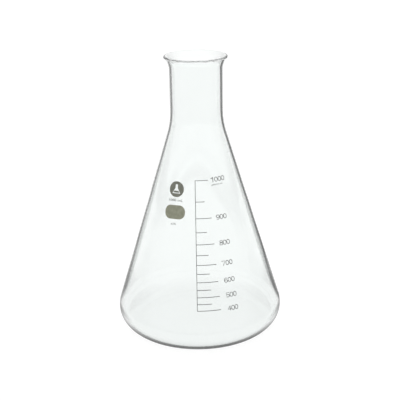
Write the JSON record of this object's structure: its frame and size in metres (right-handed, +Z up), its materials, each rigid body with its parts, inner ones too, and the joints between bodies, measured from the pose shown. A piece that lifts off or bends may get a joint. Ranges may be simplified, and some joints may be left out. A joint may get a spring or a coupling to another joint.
{
  "type": "conical flask",
  "caption": "Narrow-neck conical laboratory flask in clear glass with a flared rim, a printed enamel scale, a marking spot and a round emblem.",
  "frame": {"origin": "centre of the flat ring that the flask stands on", "axes": "+Z up along the vessel's axis; -Y is the printed side, so +X is on the reader's right"},
  "size_m": [0.132, 0.132, 0.22],
  "materials": {
    "glass": "clear, fire-polished",
    "line_enamel": "satin fired enamel",
    "spot_enamel": "matte fired enamel"
  },
  "bodies": {
    "root": {"glass_vessel": "glass", "graduation_scale": "line_enamel", "numeral_1000_figure_1": "line_enamel", "numeral_1000_figure_2": "line_enamel", "numeral_1000_figure_3": "line_enamel", "numeral_1000_figure_4": "line_enamel", "numeral_900_figure_1": "line_enamel", "numeral_900_figure_2": "line_enamel", "numeral_900_figure_3": "line_enamel", "numeral_800_figure_1": "line_enamel", "numeral_800_figure_2": "line_enamel", "numeral_800_figure_3": "line_enamel", "numeral_700_figure_1": "line_enamel", "numeral_700_figure_2": "line_enamel", "numeral_700_figure_3": "line_enamel", "numeral_600_figure_1": "line_enamel", "numeral_600_figure_2": "line_enamel", "numeral_600_figure_3": "line_enamel", "numeral_500_figure_1": "line_enamel", "numeral_500_figure_2": "line_enamel", "numeral_500_figure_3": "line_enamel", "numeral_400_figure_1": "line_enamel", "numeral_400_figure_2": "line_enamel", "numeral_400_figure_3": "line_enamel", "marking_spot": "spot_enamel", "round_emblem": "line_enamel"}
  },
  "joints": []
}
